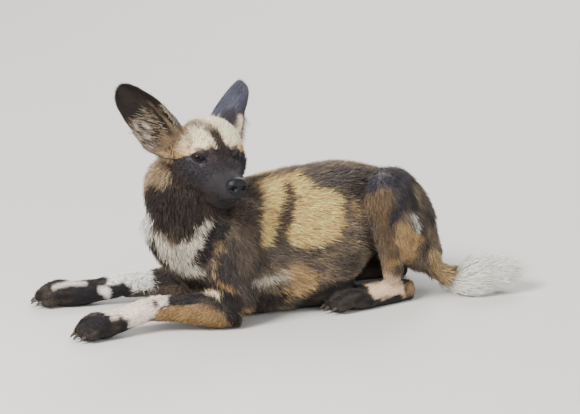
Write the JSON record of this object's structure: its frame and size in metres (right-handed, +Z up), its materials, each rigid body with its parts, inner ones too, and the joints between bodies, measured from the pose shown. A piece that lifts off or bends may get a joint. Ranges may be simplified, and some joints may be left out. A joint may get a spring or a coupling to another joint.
{
  "type": "african wild dog",
  "caption": "Life-size young african wild dog lying on its chest, forelegs stretched out, head turned to its left, large rounded ears up, white tail brush on the floor.",
  "frame": {"origin": "middle of the flat that the belly rests on, on the floor under the middle of the trunk", "axes": "+Z up; -X towards the outstretched forepaws and +X towards the tail; -Y on the side of the animal's left flank, which the head is turned towards"},
  "size_m": [0.7148, 0.3398, 0.3501],
  "materials": {
    "coat": "short mottled fur",
    "dark_coat": "short dark fur",
    "white_coat": "long white fur",
    "nose_leather": "damp pebbled skin",
    "eye": "wet gloss",
    "claw": "smooth horn"
  },
  "bodies": {
    "root": {"torso": "coat", "neck": "coat", "head": "coat", "lower_jaw": "dark_coat", "nose": "nose_leather", "eye_left": "eye", "ear_left": "dark_coat", "upper_arm_left": "coat", "forearm_left": "coat", "forepaw_left": "dark_coat", "thigh_left": "coat", "shank_left": "coat", "hindpaw_left": "dark_coat", "eye_right": "eye", "ear_right": "dark_coat", "upper_arm_right": "coat", "forearm_right": "coat", "forepaw_right": "dark_coat", "thigh_right": "coat", "shank_right": "coat", "hindpaw_right": "dark_coat", "foreclaw_left_1": "claw", "foreclaw_left_2": "claw", "foreclaw_left_3": "claw", "foreclaw_left_4": "claw", "foreclaw_right_1": "claw", "foreclaw_right_2": "claw", "foreclaw_right_3": "claw", "foreclaw_right_4": "claw", "hindclaw_left_1": "claw", "hindclaw_left_2": "claw", "hindclaw_left_3": "claw", "hindclaw_left_4": "claw", "hindclaw_right_1": "claw", "hindclaw_right_2": "claw", "hindclaw_right_3": "claw", "hindclaw_right_4": "claw", "tail": "coat", "tail_brush": "white_coat"}
  },
  "joints": []
}
